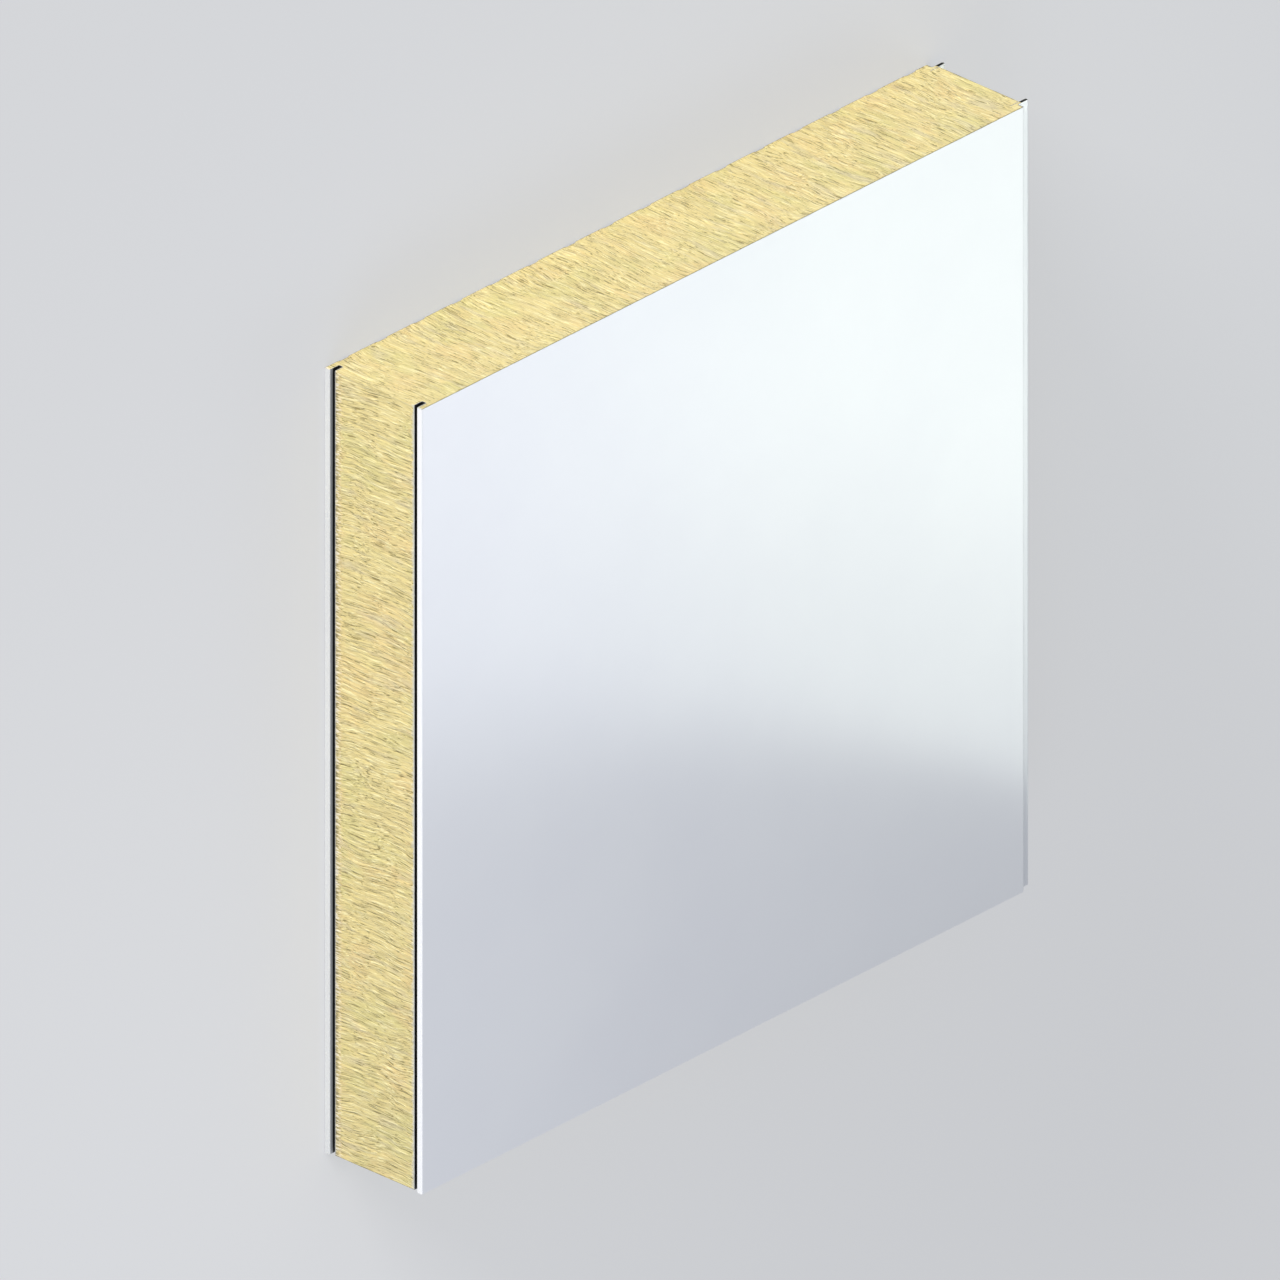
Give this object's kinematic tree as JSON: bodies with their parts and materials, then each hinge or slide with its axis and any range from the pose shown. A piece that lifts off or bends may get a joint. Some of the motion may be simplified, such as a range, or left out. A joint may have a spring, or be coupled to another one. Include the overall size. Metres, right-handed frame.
{
  "type": "insulated sandwich panel",
  "caption": "Cut length of metal-faced mineral wool sandwich panel with tongue and groove edges, used to clad insulated walls and roofs.",
  "frame": {"origin": "centre of the panel's underside, on the plane of the inner facing's flats", "axes": "+X across the cover width towards the tongue edge, +Y along the panel between its cut ends, +Z through the thickness towards the smooth outer facing"},
  "size_m": [1.014, 1, 0.15],
  "materials": {
    "outer_steel": "prepainted galvanised steel, white, satin",
    "inner_steel": "prepainted galvanised steel, grey white, satin",
    "stone_wool": "cut stone wool, yellow, fibres across the thickness"
  },
  "bodies": {
    "root": {"outer_facing": "outer_steel", "inner_facing": "inner_steel", "wool_core": "stone_wool"}
  },
  "joints": []
}
